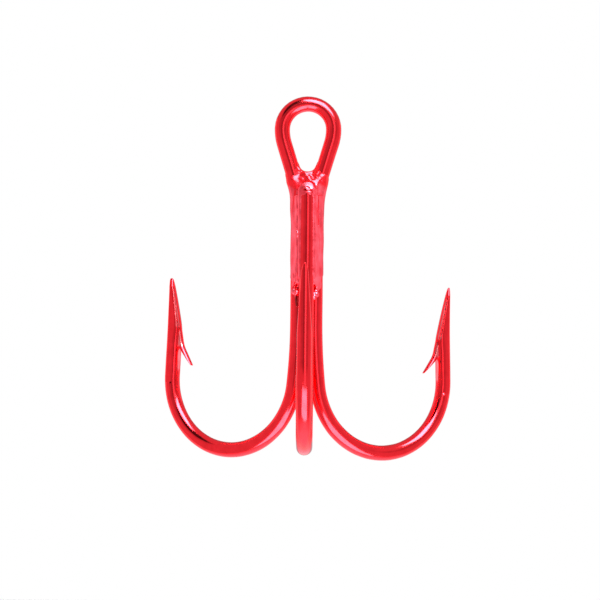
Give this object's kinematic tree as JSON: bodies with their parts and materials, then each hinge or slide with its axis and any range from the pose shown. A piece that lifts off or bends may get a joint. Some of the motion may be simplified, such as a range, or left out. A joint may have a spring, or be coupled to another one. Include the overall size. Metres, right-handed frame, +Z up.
{
  "type": "treble hook",
  "caption": "Barbed fishing hook with its points set evenly round a brazed shank and a teardrop wire eye; it hangs from a split ring or line and hooks a fish.",
  "frame": {"origin": "centre of the round of the eye, in the plane of the eye's wire", "axes": "+Z up along the shank towards the eye's crown, -Y towards the single hook's point, +X to the right hook of the pair"},
  "size_m": [0.0306, 0.0266, 0.038],
  "materials": {
    "hook_wire": "glossy translucent red lacquer over bright plated steel wire",
    "braze": "glossy red lacquer over smooth, slightly lumpy braze"
  },
  "bodies": {
    "root": {"double_hook": "hook_wire", "single_hook": "hook_wire", "braze_throat": "braze", "braze_left_seam": "braze", "braze_right_seam": "braze", "braze_rear_seam": "braze", "braze_core": "braze"}
  },
  "joints": []
}
